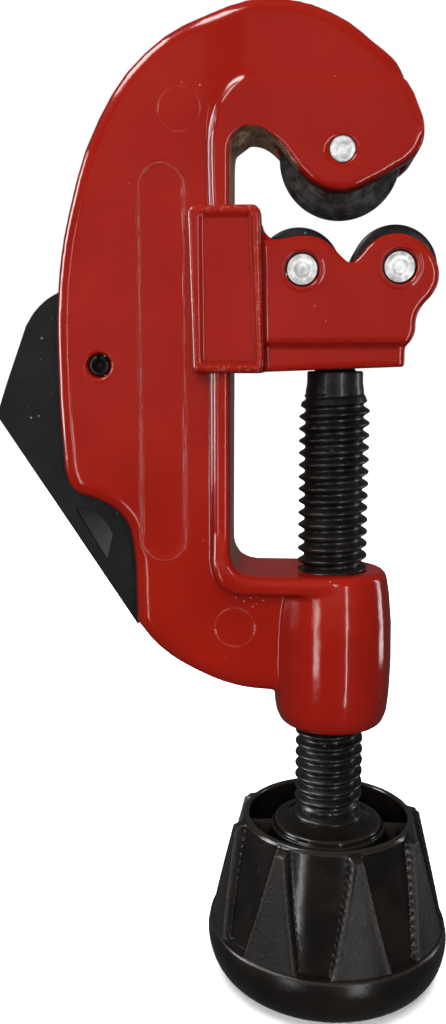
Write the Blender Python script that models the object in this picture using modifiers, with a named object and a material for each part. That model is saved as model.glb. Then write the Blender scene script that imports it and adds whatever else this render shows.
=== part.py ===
"""A hand tube cutter for pipes of 3 to 28 mm, as an assembly of separate pieces.

The feed screw's axis is the Z axis and the knob's flat base is at Z = 0, so the tool
stands upright. +X points to the open side of the C-shaped frame, and the frame's
middle plane is Y = 0. Every size below is in millimetres, and MM turns it into metres.
"""

import bmesh
import bpy
import numpy as np
from mathutils import Matrix, Vector

MM = 0.001
GAP = 0.3  # running clearance between two pieces

# Feed screw
PITCH = 2.0
THREAD_RADIUS = 5.9
ROOT_RADIUS = 4.85
THREAD_STEPS = 12  # facets in one turn
THREAD_CREST_Z = 1.9  # a crest crosses the +X side at this height, plus whole pitches
THREAD_BOTTOM, THREAD_TOP = 30.0, 100.6
NECK_RADIUS, NECK_TOP_Z = 4.45, 104.1
JOURNAL_RADIUS = 3.2
SCREW_END_Z = 112.4

# Frame
WEB_HALF = 5.0
WEB_ROUNDING = 2.2  # of the long outer edge
RIM_HALF = 7.5
ARM_HALF = 9.2  # the rim widens to this along the lower arm
ARM_FLARE_Z = 78.0  # where the rail starts to widen
RAIL_INNER_X, RAIL_OUTER_X = -16.8, -19.6
ARM_TOP_Z = 71.5
RIM_END_X = 0.5  # the lower arm ends inside the boss
BOSS_X = 0.2
BOSS_BOTTOM_Z = 44.7
PANEL_X, PANEL_BOTTOM_Z, PANEL_TOP_Z = -27.8, 73.4, 136.4
PANEL_RADIUS, PANEL_DEPTH = 3.4, 0.45

# Cutter wheel in the hook
WHEEL_X, WHEEL_Z = 0.2, 137.6
WHEEL_RADIUS, WHEEL_HUB_RADIUS, WHEEL_HALF = 9.6, 6.8, 2.5
WHEEL_PIN_RADIUS = 2.2
WHEEL_SLOT_RADIUS, WHEEL_SLOT_HALF = 10.3, 2.9

# Slide and its rollers
SLIDE_BOTTOM_Z, SLIDE_FLOOR_Z = 104.0, 109.0
SLIDE_BOX_HALF, CHEEK_HALF, FLANGE_HALF = 10.3, 8.3, 7.4
ROLLER_PIN_PLACES = {"left": (-5.7, 119.8), "right": (9.15, 120.1)}
ROLLER_LEAN = -0.6  # each roller is loose on its pin and leans towards the guide
ROLLER_RADIUS, ROLLER_HALF, ROLLER_BORE = 6.65, 5.9, 3.2
ROLLER_PIN_RADIUS, ROLLER_PIN_HALF = 2.3, 8.1

# Reamer
REAMER_X, REAMER_Z = -38.1, 105.2
REAMER_SLOT_HALF = 1.95
REAMER_POCKET_X = -23.6  # the closed end of the blade's pocket
REAMER_HALF, REAMER_Y = 1.2, -0.45
REAMER_PIN_RADIUS, REAMER_PIN_WALL = 1.6, 0.45

# Knob
KNOB_BASE_RADIUS, KNOB_RADIUS = 16.3, 20.95
KNOB_BELLY_Z, KNOB_LEDGE_Z, KNOB_TOP_Z = 7.0, 9.0, 27.95
HUB_RADIUS, HUB_TOP_Z = 9.9, 27.0
LANDS = 8
FIRST_LAND_DEG = 284.7
CAP_RADIUS, CAP_THICK = 12.2, 1.9

RED = (0.36, 0.014, 0.010)


def clear_scene():
    for obj in list(bpy.data.objects):
        bpy.data.objects.remove(obj, do_unlink=True)


def new_collection(name, hidden=False):
    collection = bpy.data.collections.new(name)
    bpy.context.scene.collection.children.link(collection)
    collection.hide_render = hidden
    return collection


def make_material(name, colour, roughness, metallic):
    material = bpy.data.materials.new(name)
    material.use_nodes = True
    shader = material.node_tree.nodes["Principled BSDF"]
    shader.inputs["Base Color"].default_value = (*colour, 1.0)
    shader.inputs["Roughness"].default_value = roughness
    shader.inputs["Metallic"].default_value = metallic
    material.diffuse_color = (*colour, 1.0)
    return material


def add_object(name, mesh, collection):
    obj = bpy.data.objects.new(name, mesh)
    collection.objects.link(obj)
    return obj


def finish_piece(obj, material):
    """Gives a piece its material and smooth shading with sharp edges kept."""
    obj.data.materials.clear()
    obj.data.materials.append(material)
    obj.data.shade_smooth()
    obj.data.set_sharp_from_angle(angle=np.radians(35))
    return obj


def hide_cutter(obj):
    obj.hide_render = True
    obj.display_type = "WIRE"
    return obj


def boolean(obj, other, operation="DIFFERENCE"):
    modifier = obj.modifiers.new(f"{operation.lower()} {other.name}", "BOOLEAN")
    modifier.operation = operation
    modifier.solver = "EXACT"
    modifier.object = other


def box(name, low, high, collection):
    """A box between two corners, in millimetres."""
    mesh = bpy.data.meshes.new(name)
    bm = bmesh.new()
    bmesh.ops.create_cube(bm, size=1.0)
    low, high = Vector(low) * MM, Vector(high) * MM
    bmesh.ops.scale(bm, vec=high - low, verts=bm.verts)
    bmesh.ops.translate(bm, vec=(low + high) / 2, verts=bm.verts)
    bm.to_mesh(mesh)
    bm.free()
    return add_object(name, mesh, collection)


def cylinder(name, centre, radius, low, high, axis, collection, sides=32):
    """A cylinder about the Y or Z axis through centre, from low to high along it."""
    mesh = bpy.data.meshes.new(name)
    bm = bmesh.new()
    length = high - low
    bmesh.ops.create_cone(
        bm,
        cap_ends=True,
        segments=sides,
        radius1=radius * MM,
        radius2=radius * MM,
        depth=length * MM,
    )
    middle = (low + high) / 2 * MM
    if axis == "Y":
        bmesh.ops.rotate(bm, matrix=Matrix.Rotation(np.pi / 2, 3, "X"), verts=bm.verts)
        shift = Vector((centre[0] * MM, middle, centre[1] * MM))
    else:
        shift = Vector((centre[0] * MM, centre[1] * MM, middle))
    bmesh.ops.translate(bm, vec=shift, verts=bm.verts)
    bm.to_mesh(mesh)
    bm.free()
    return add_object(name, mesh, collection)


def plate(name, outline, half, collection, rounding=0.0, detail=4, middle=0.0):
    """A plate with an outline in the XZ plane and half its thickness each side of Y = middle.

    An outline point is (x, z), rounded through its neighbours, or (x, z, "corner").
    """
    curve = bpy.data.curves.new(name, "CURVE")
    curve.dimensions = "2D"
    curve.fill_mode = "BOTH"
    curve.extrude = (half - rounding) * MM
    curve.bevel_depth = rounding * MM
    curve.offset = -rounding * MM
    curve.bevel_resolution = 1
    curve.resolution_u = detail
    spline = curve.splines.new("BEZIER")
    spline.bezier_points.add(len(outline) - 1)
    spline.use_cyclic_u = True
    for point, place in zip(spline.bezier_points, outline):
        point.co = (place[0] * MM, place[1] * MM, 0.0)
        handle = "VECTOR" if len(place) > 2 else "AUTO"
        point.handle_left_type = handle
        point.handle_right_type = handle
    drawn = add_object(f"{name}_curve", curve, collection)
    drawn.matrix_world = Matrix.Translation((0, middle * MM, 0)) @ Matrix.Rotation(np.pi / 2, 4, "X")
    bpy.context.view_layer.update()
    graph = bpy.context.evaluated_depsgraph_get()
    mesh = bpy.data.meshes.new_from_object(drawn.evaluated_get(graph))
    mesh.name = name
    mesh.transform(drawn.matrix_world)
    bpy.data.objects.remove(drawn, do_unlink=True)
    bm = bmesh.new()
    bm.from_mesh(mesh)
    bmesh.ops.remove_doubles(bm, verts=bm.verts, dist=1e-6)
    bmesh.ops.recalc_face_normals(bm, faces=bm.faces)
    bm.to_mesh(mesh)
    bm.free()
    return add_object(name, mesh, collection)


def turned(name, profile, centre, axis, collection, steps=32, closed=False):
    """A turned piece. The profile is (radius, height) points down its outer side.

    With closed, the profile is a loop, for a ring. The height runs along Z, or along -Y
    through centre when axis is Y.
    """
    mesh = bpy.data.meshes.new(name)
    points = [(radius * MM, 0.0, height * MM) for radius, height in profile]
    edges = [(i, i + 1) for i in range(len(points) - 1)]
    if closed:
        edges.append((len(points) - 1, 0))
    mesh.from_pydata(points, edges, [])
    obj = add_object(name, mesh, collection)
    modifier = obj.modifiers.new("turn", "SCREW")
    modifier.steps = steps
    modifier.render_steps = steps
    modifier.use_merge_vertices = True
    modifier.merge_threshold = 1e-6
    modifier.use_normal_calculate = True
    graph = bpy.context.evaluated_depsgraph_get()
    solid = bpy.data.meshes.new_from_object(obj.evaluated_get(graph))
    solid.name = name
    bpy.data.objects.remove(obj, do_unlink=True)
    if axis == "Y":
        turn = Matrix.Rotation(np.pi / 2, 4, "X")
        solid.transform(Matrix.Translation((centre[0] * MM, 0, centre[1] * MM)) @ turn)
    else:
        solid.transform(Matrix.Translation((centre[0] * MM, centre[1] * MM, 0)))
    bm = bmesh.new()
    bm.from_mesh(solid)
    bmesh.ops.recalc_face_normals(bm, faces=bm.faces)
    bm.to_mesh(solid)
    bm.free()
    return add_object(name, solid, collection)


def set_origin(obj, x, y, z):
    """Moves the object's origin to a point, in millimetres, and leaves its shape in place."""
    shift = Vector((x, y, z)) * MM
    obj.data.transform(Matrix.Translation(-shift))
    obj.location = shift


def thread_body(name, low, high, crest, root, collection, run_out=0.0):
    """A right-hand thread from low to high, as rows of points that climb one pitch a turn.

    run_out trims the last crests at the top to a cone, as where a die leaves the bar.
    """
    third = PITCH / 3
    shape = [(root, 0.0), (root, third * 0.5), (crest, third * 1.75)]
    first_crest = THREAD_CREST_Z + PITCH * np.ceil((low - THREAD_CREST_Z) / PITCH)
    start = first_crest - third * 1.75
    turns = int((high - start) / PITCH)
    steps = turns * THREAD_STEPS
    bm = bmesh.new()
    rows = []
    for step in range(steps + THREAD_STEPS + 1):
        angle = 2 * np.pi * step / THREAD_STEPS
        rise = start + PITCH * step / THREAD_STEPS
        profile = shape if step <= steps else shape[:1]
        row = []
        for radius, height in profile:
            z = rise + height
            radius = min(radius, max(root, root + run_out * (high - z))) if run_out else radius
            across, along = radius * np.cos(angle), radius * np.sin(angle)
            row.append(bm.verts.new((across * MM, along * MM, z * MM)))
        rows.append(row)
    last = len(shape) - 1
    for step in range(steps):
        here, there = rows[step], rows[step + 1]
        for k in range(last):
            bm.faces.new((here[k], there[k], there[k + 1], here[k + 1]))
        above, beyond = rows[step + THREAD_STEPS][0], rows[step + THREAD_STEPS + 1][0]
        bm.faces.new((here[last], there[last], beyond, above))
    foot = bm.verts.new((0, 0, (start - PITCH) * MM))
    head = bm.verts.new((0, 0, (start + PITCH * (turns + 2)) * MM))
    for step in range(THREAD_STEPS):
        bm.faces.new((foot, rows[step + 1][0], rows[step][0]))
        bm.faces.new((head, rows[steps + step][0], rows[steps + step + 1][0]))
    for k in range(last):
        bm.faces.new((foot, rows[0][k], rows[0][k + 1]))
        bm.faces.new((head, rows[steps][k + 1], rows[steps][k]))
    bm.faces.new((foot, rows[0][last], rows[THREAD_STEPS][0]))
    bm.faces.new((head, rows[steps + THREAD_STEPS][0], rows[steps][last]))
    bmesh.ops.recalc_face_normals(bm, faces=bm.faces)
    mesh = bpy.data.meshes.new(name)
    bm.to_mesh(mesh)
    bm.free()
    return add_object(name, mesh, collection)


# ---------------------------------------------------------------- frame


def web_outline():
    """The frame's outer back, from the boss round the reamer's notch and over the hook."""
    return [
        (-5.0, 50.5, "corner"),
        (-9.0, 50.8),
        (-15.5, 51.4),
        (-22.8, 54.1),
        (-29.0, 58.1),
        (-32.8, 62.6, "corner"),
        (-32.9, 68.0),
        (-33.2, 74.5),
        (-34.7, 80.0),
        (-38.7, 82.9),
        (-42.7, 84.3),
        (-44.1, 86.2),
        (-44.8, 91.5),
        (-45.3, 103.0),
        (-45.0, 117.4),
        (-42.9, 129.5),
        (-37.8, 143.6),
        (-30.3, 153.3),
        (-20.6, 158.6),
        (-10.8, 160.2),
        (-1.3, 157.9),
        (5.6, 152.9),
        (9.5, 148.0, "corner"),
        (8.2, 141.0, "corner"),
        (-12.0, 141.6, "corner"),
        (-17.1, 138.0, "corner"),
        (-17.1, 71.1, "corner"),
        (-4.0, 71.1, "corner"),
    ]


def rim_outline():
    """The thick rim: the rail, the lower arm and the cheeks of the hook."""
    return [
        (RIM_END_X, ARM_TOP_Z, "corner"),
        (-13.0, ARM_TOP_Z, "corner"),
        (-15.7, 72.5),
        (RAIL_INNER_X, 75.0, "corner"),
        (RAIL_INNER_X, ARM_FLARE_Z, "corner"),
        (RAIL_INNER_X, 137.4, "corner"),
        (-16.1, 140.3),
        (-13.6, 141.2),
        (-11.0, 140.2),
        (-8.4, 137.4),
        (-4.6, 133.1),
        (0.6, 131.5),
        (4.7, 133.0),
        (8.8, 135.1),
        (11.6, 137.1),
        (12.5, 139.9),
        (11.4, 143.5),
        (9.3, 147.1),
        (6.7, 148.1),
        (-3.3, 148.6),
        (-11.5, 148.9),
        (-16.5, 146.8),
        (-19.5, 142.1),
        (-20.0, 136.4),
        (RAIL_OUTER_X, 128.0, "corner"),
        (RAIL_OUTER_X, ARM_FLARE_Z, "corner"),
        (RAIL_OUTER_X, 73.4, "corner"),
        (-18.4, 69.8),
        (-15.3, 68.4, "corner"),
        (RIM_END_X, 68.4, "corner"),
    ]


def widen_arm(obj):
    """Widens the rim from the rail's thickness to the lower arm's, below the slide's travel."""
    for vertex in obj.data.vertices:
        drop = (ARM_FLARE_Z * MM - vertex.co.z) / ((ARM_FLARE_Z - 72.5) * MM)
        drop = min(max(drop, 0.0), 1.0)
        vertex.co.y *= 1 + (ARM_HALF / RIM_HALF - 1) * drop * drop * (3 - 2 * drop)


def panel_outline():
    """The long sunk panel of the web, round at both ends."""
    low, high = PANEL_BOTTOM_Z + PANEL_RADIUS, PANEL_TOP_Z - PANEL_RADIUS
    points = []
    for centre, first in ((high, 0.0), (low, np.pi)):
        for angle in np.linspace(first, first + np.pi, 9):
            across, up = PANEL_RADIUS * np.cos(angle), PANEL_RADIUS * np.sin(angle)
            points.append((PANEL_X + across, centre + up, "corner"))
    return points


def reamer_slot_outline():
    """The pocket in the web that the blade folds into, open all along the back edge."""
    points = [(-36.0, 57.0, "corner"), (-26.5, 57.0, "corner"), (-26.0, 88.0, "corner")]
    for angle in np.radians(np.linspace(-47, 100, 10)):
        points.append((REAMER_X + 21.0 * np.cos(angle), REAMER_Z + 21.0 * np.sin(angle), "corner"))
    points = [(min(x, REAMER_POCKET_X), z, kind) for x, z, kind in points]
    points += [(-60.0, 127.0, "corner"), (-60.0, 85.0, "corner")]
    return points


def build_frame(parts, cutters, red):
    frame = plate("frame", rim_outline(), RIM_HALF, parts, rounding=0.8, detail=2)
    widen_arm(frame)
    web = hide_cutter(plate("web", web_outline(), WEB_HALF, cutters, rounding=WEB_ROUNDING, detail=3))
    boolean(frame, web, "UNION")
    barrel = [
        (0.0, ARM_TOP_Z + 0.05),
        (8.1, ARM_TOP_Z + 0.05),
        (8.95, 70.7),
        (9.5, 67.5),
        (9.95, 62.5),
        (10.05, 56.0),
        (9.85, 50.5),
        (9.5, 47.2),
        (8.7, BOSS_BOTTOM_Z + 0.6),
        (7.3, BOSS_BOTTOM_Z),
        (0.0, BOSS_BOTTOM_Z),
    ]
    boss = hide_cutter(turned("boss", barrel, (BOSS_X, 0.0), "Z", cutters))
    boolean(frame, boss, "UNION")
    for side in (-1, 1):
        panel = plate(
            f"panel_{side}",
            panel_outline(),
            PANEL_DEPTH,
            cutters,
            middle=side * WEB_HALF,
        )
        boolean(frame, hide_cutter(panel))
    slot = cylinder(
        "wheel_slot",
        (WHEEL_X, WHEEL_Z),
        WHEEL_SLOT_RADIUS,
        -WHEEL_SLOT_HALF,
        WHEEL_SLOT_HALF,
        "Y",
        cutters,
    )
    boolean(frame, hide_cutter(slot))
    hole = cylinder("wheel_pin_hole", (WHEEL_X, WHEEL_Z), WHEEL_PIN_RADIUS + GAP, -20, 20, "Y", cutters, 24)
    boolean(frame, hide_cutter(hole))
    reamer_slot = plate("reamer_slot", reamer_slot_outline(), REAMER_SLOT_HALF, cutters)
    boolean(frame, hide_cutter(reamer_slot))
    pivot = cylinder("reamer_hole", (REAMER_X, REAMER_Z), REAMER_PIN_RADIUS + GAP, -20, 20, "Y", cutters, 20)
    boolean(frame, hide_cutter(pivot))
    bore = thread_body(
        "thread_bore",
        BOSS_BOTTOM_Z - 3,
        ARM_TOP_Z + 3 * PITCH,
        THREAD_RADIUS + GAP,
        ROOT_RADIUS + GAP,
        cutters,
    )
    boolean(frame, hide_cutter(bore))
    return finish_piece(frame, red)


# ---------------------------------------------------------------- cutter wheel


def wheel_profile():
    """Hub, cone and sharp edge of a cutter wheel, from its top face down, as a closed loop."""
    bore = WHEEL_PIN_RADIUS + GAP
    return [
        (bore, WHEEL_HALF),
        (WHEEL_HUB_RADIUS - 0.5, WHEEL_HALF),
        (WHEEL_HUB_RADIUS, WHEEL_HALF - 0.5),
        (WHEEL_HUB_RADIUS + 0.1, 1.5),
        (WHEEL_RADIUS, 0.08),
        (WHEEL_RADIUS, -0.08),
        (WHEEL_HUB_RADIUS + 0.1, -1.5),
        (WHEEL_HUB_RADIUS, 0.5 - WHEEL_HALF),
        (WHEEL_HUB_RADIUS - 0.5, -WHEEL_HALF),
        (bore, -WHEEL_HALF),
    ]


def build_cutter_wheel(parts, bright, hard):
    centre = (WHEEL_X, WHEEL_Z)
    wheel = turned("cutter_wheel", wheel_profile(), centre, "Y", parts, 32, closed=True)
    set_origin(wheel, WHEEL_X, 0, WHEEL_Z)
    finish_piece(wheel, hard)
    groove = WHEEL_PIN_RADIUS - 0.6
    pin_profile = [
        (0.0, RIM_HALF - 0.1),
        (WHEEL_PIN_RADIUS - 0.25, RIM_HALF - 0.1),
        (WHEEL_PIN_RADIUS, RIM_HALF - 0.35),
        (WHEEL_PIN_RADIUS, -RIM_HALF - 0.2),
        (groove, -RIM_HALF - 0.2),
        (groove, -RIM_HALF - 1.4),
        (WHEEL_PIN_RADIUS, -RIM_HALF - 1.4),
        (WHEEL_PIN_RADIUS, -RIM_HALF - 1.9),
        (WHEEL_PIN_RADIUS - 0.3, -RIM_HALF - 2.2),
        (0.0, -RIM_HALF - 2.2),
    ]
    finish_piece(turned("wheel_pin", pin_profile, centre, "Y", parts, 20), bright)
    inner, outer = groove + GAP, WHEEL_PIN_RADIUS + 1.9
    ring = [
        (inner, -RIM_HALF - 0.45),
        (outer, -RIM_HALF - 0.45),
        (outer, -RIM_HALF - 1.15),
        (inner, -RIM_HALF - 1.15),
    ]
    clip = turned("wheel_pin_clip", ring, centre, "Y", parts, 20, closed=True)
    return finish_piece(clip, hard)


# ---------------------------------------------------------------- slide


def cheek_outline():
    """The two lobes round the roller pins, the V between them and the body below."""
    return [
        (-15.5, 108.4, "corner"),
        (-15.5, 124.3, "corner"),
        (-9.6, 124.4, "corner"),
        (-4.6, 124.9),
        (-2.2, 124.1),
        (0.5, 121.6),
        (1.65, 120.8),
        (2.8, 121.6),
        (5.0, 124.0),
        (8.6, 125.2),
        (12.3, 123.9),
        (14.7, 121.0),
        (15.2, 118.4),
        (14.4, 116.2),
        (12.7, 114.2),
        (11.9, 112.3),
        (11.8, 110.2),
        (10.8, 108.4, "corner"),
    ]


def box_outline():
    """The guide that wraps the rail: a tall, slightly tapered box."""
    return [
        (-22.5, SLIDE_BOTTOM_Z, "corner"),
        (-23.3, 128.5, "corner"),
        (-22.5, 129.3, "corner"),
        (-12.9, 129.3, "corner"),
        (-12.0, 128.3, "corner"),
        (-11.4, 105.0, "corner"),
        (-11.9, SLIDE_BOTTOM_Z, "corner"),
    ]


def box_panel_outline():
    """The sunk panel on the guide's face."""
    return [
        (-21.2, 105.3, "corner"),
        (-21.4, 128.0, "corner"),
        (-13.3, 128.0, "corner"),
        (-12.4, 105.3, "corner"),
    ]


def bridge_outline():
    """The body between the guide and the cheeks, with its hollow top corner."""
    return [
        (-14.5, 105.0, "corner"),
        (-14.5, 128.0, "corner"),
        (-12.2, 127.8, "corner"),
        (-11.8, 126.2),
        (-11.0, 125.0),
        (-9.4, 124.0, "corner"),
        (-8.0, 120.0, "corner"),
        (-8.0, 105.0, "corner"),
    ]


def build_slide(parts, cutters, red, bright, black):
    slide = plate("slide", cheek_outline(), CHEEK_HALF, parts, rounding=0.7, detail=3)
    guide = plate("guide", box_outline(), SLIDE_BOX_HALF, cutters, rounding=0.7, detail=1)
    boolean(slide, hide_cutter(guide), "UNION")
    bridge = plate("bridge", bridge_outline(), CHEEK_HALF - 1.1, cutters, detail=2)
    boolean(slide, hide_cutter(bridge), "UNION")
    flange_outline = [
        (-14.0, SLIDE_BOTTOM_Z + 0.1, "corner"),
        (-14.0, 110.0, "corner"),
        (10.4, 110.0, "corner"),
        (10.4, SLIDE_BOTTOM_Z + 1.0, "corner"),
    ]
    flange = plate("flange", flange_outline, FLANGE_HALF, cutters, rounding=0.6, detail=1)
    boolean(slide, hide_cutter(flange), "UNION")
    for side in (-1, 1):
        panel = plate(
            f"guide_panel_{side}", box_panel_outline(), 0.45, cutters, middle=side * SLIDE_BOX_HALF
        )
        boolean(slide, hide_cutter(panel))
    bottom, top = SLIDE_BOTTOM_Z - 4, 135.0
    rail_inner, rail_outer = RAIL_INNER_X + GAP, RAIL_OUTER_X - GAP
    rail_half, web_half = RIM_HALF + GAP, WEB_HALF + 0.4
    channel = box("rail_channel", (rail_outer, -rail_half, bottom), (rail_inner, rail_half, top), cutters)
    boolean(slide, hide_cutter(channel))
    mouth = box("web_channel", (-30.0, -web_half, bottom), (rail_outer + 0.5, web_half, top), cutters)
    boolean(slide, hide_cutter(mouth))
    slot_half = ROLLER_HALF + GAP
    roller_slot = box("roller_slot", (-13.2, -slot_half, SLIDE_FLOOR_Z), (25.0, slot_half, top), cutters)
    boolean(slide, hide_cutter(roller_slot))
    relief_outline = [
        (-18.0, 99.0, "corner"),
        (-18.0, 109.3, "corner"),
        (-11.5, 102.8, "corner"),
        (-11.5, 99.0, "corner"),
    ]
    relief = plate("corner_relief", relief_outline, rail_half, cutters)
    boolean(slide, hide_cutter(relief))
    screw_hole = cylinder("screw_hole", (0, 0), JOURNAL_RADIUS + GAP, 95, 115, "Z", cutters, 24)
    boolean(slide, hide_cutter(screw_hole))
    for name, place in ROLLER_PIN_PLACES.items():
        hole = cylinder(f"roller_hole_{name}", place, ROLLER_PIN_RADIUS + GAP, -20, 20, "Y", cutters, 20)
        boolean(slide, hide_cutter(hole))
        build_roller(name, place, parts, bright, black)
    return finish_piece(slide, red)


def build_roller(side, place, parts, bright, black):
    """One roller, with a shallow groove at mid-width for the wheel's edge, and its pin."""
    bore = ROLLER_BORE
    half, radius, groove = ROLLER_HALF, ROLLER_RADIUS, ROLLER_RADIUS - 0.7
    profile = [
        (bore, half),
        (radius - 0.7, half),
        (radius, half - 0.7),
        (radius, 0.9),
        (groove, 0.4),
        (groove, -0.4),
        (radius, -0.9),
        (radius, 0.7 - half),
        (radius - 0.7, -half),
        (bore, -half),
    ]
    centre = (place[0] + ROLLER_LEAN, place[1])
    roller = turned(f"roller_{side}", profile, centre, "Y", parts, 28, closed=True)
    set_origin(roller, centre[0], 0, centre[1])
    finish_piece(roller, black)
    end, chamfer = ROLLER_PIN_HALF, 0.3
    pin_profile = [
        (0.0, end),
        (ROLLER_PIN_RADIUS - chamfer, end),
        (ROLLER_PIN_RADIUS, end - chamfer),
        (ROLLER_PIN_RADIUS, chamfer - end),
        (ROLLER_PIN_RADIUS - chamfer, -end),
        (0.0, -end),
    ]
    pin = turned(f"roller_pin_{side}", pin_profile, place, "Y", parts, 20)
    return finish_piece(pin, bright)


# ---------------------------------------------------------------- feed screw


def build_feed_screw(parts, cutters, black, bright):
    screw = thread_body(
        "feed_screw", THREAD_BOTTOM, THREAD_TOP, THREAD_RADIUS, ROOT_RADIUS, parts, run_out=0.6
    )
    neck = [
        (0.0, SCREW_END_Z),
        (JOURNAL_RADIUS - 0.4, SCREW_END_Z),
        (JOURNAL_RADIUS, SCREW_END_Z - 0.4),
        (JOURNAL_RADIUS, 111.3),
        (2.3, 111.3),
        (2.3, 110.0),
        (JOURNAL_RADIUS, 110.0),
        (JOURNAL_RADIUS, NECK_TOP_Z),
        (NECK_RADIUS, NECK_TOP_Z),
        (NECK_RADIUS, 101.4),
        (ROOT_RADIUS + 0.1, 99.6),
        (ROOT_RADIUS + 0.1, 95.0),
        (ROOT_RADIUS - 0.6, 94.0),
        (0.0, 94.0),
    ]
    boolean(screw, hide_cutter(turned("screw_neck", neck, (0, 0), "Z", cutters, 24)), "UNION")
    foot = [
        (0.0, 33.0),
        (ROOT_RADIUS - 0.8, 33.0),
        (ROOT_RADIUS - 0.8, 31.7),
        (ROOT_RADIUS + 0.15, 31.2),
        (ROOT_RADIUS + 0.3, 28.6),
        (THREAD_RADIUS, 28.4),
        (THREAD_RADIUS, 27.3),
        (5.0, 27.3),
        (5.0, 22.0),
        (0.0, 22.0),
    ]
    boolean(screw, hide_cutter(turned("screw_foot", foot, (0, 0), "Z", cutters, 24)), "UNION")
    tang = box("screw_tang", (-3.7, -3.7, 14.3), (3.7, 3.7, 23.0), cutters)
    boolean(screw, hide_cutter(tang), "UNION")
    hole = cylinder("tang_hole", (0, 0), 1.9 + GAP, 5, 21.6, "Z", cutters, 20)
    boolean(screw, hide_cutter(hole))
    finish_piece(screw, black)
    clip = [(2.6, 110.95), (4.7, 110.95), (4.7, 110.3), (2.6, 110.3)]
    finish_piece(turned("retaining_clip", clip, (0, 0), "Z", parts, 20, closed=True), bright)
    washer = [(3.5, 109.95), (4.9, 109.95), (4.9, 109.3), (3.5, 109.3)]
    finish_piece(turned("thrust_washer", washer, (0, 0), "Z", parts, 20, closed=True), bright)
    return screw


# ---------------------------------------------------------------- knob


def land(index, collection):
    """One raised land: a wedge lofted from a wide foot to a narrow top, its face on a cone."""
    middle = np.radians(FIRST_LAND_DEG + 360 / LANDS * index)
    bm = bmesh.new()
    rows = []
    sections = ((KNOB_LEDGE_Z - 0.6, 20.25, 17.0, 14.6), (27.0, 16.7, 14.0, 3.2))
    for z, outer, inner, half_deg in sections:
        row = []
        for radius, turn in ((outer, -1), (outer, 0), (outer, 1), (inner, 1), (inner, -1)):
            angle = middle + np.radians(half_deg) * turn
            across, along = radius * np.cos(angle), radius * np.sin(angle)
            row.append(bm.verts.new((across * MM, along * MM, z * MM)))
        rows.append(row)
    bm.faces.new(rows[0][::-1])
    bm.faces.new(rows[1])
    count = len(rows[0])
    for k in range(count):
        after = (k + 1) % count
        bm.faces.new((rows[0][k], rows[0][after], rows[1][after], rows[1][k]))
    bmesh.ops.recalc_face_normals(bm, faces=bm.faces)
    mesh = bpy.data.meshes.new(f"land_{index}")
    bm.to_mesh(mesh)
    bm.free()
    return add_object(f"land_{index}", mesh, collection)


def knob_profile():
    """The knob's outside from the top ring to the base, with a rounded lower edge."""
    rounding = [
        (
            KNOB_BASE_RADIUS + (KNOB_RADIUS - KNOB_BASE_RADIUS) * np.cos(angle),
            KNOB_BELLY_Z - KNOB_BELLY_Z * np.sin(angle),
        )
        for angle in np.radians(np.linspace(0, 90, 6))
    ]
    return [
        (0.0, HUB_TOP_Z),
        (HUB_RADIUS - 0.7, HUB_TOP_Z),
        (HUB_RADIUS - 0.4, HUB_TOP_Z - 0.9),
        (HUB_RADIUS, HUB_TOP_Z - 1.0),
        (HUB_RADIUS, 14.5),
        (15.3, 14.5),
        (13.66, KNOB_TOP_Z - 0.3),
        (13.9, KNOB_TOP_Z),
        (14.5, KNOB_TOP_Z),
        (14.9, KNOB_TOP_Z - 0.5),
        (19.2, KNOB_LEDGE_Z + 0.2),
        (20.7, KNOB_LEDGE_Z),
        *rounding,
        (0.0, 0.0),
    ]


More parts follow.
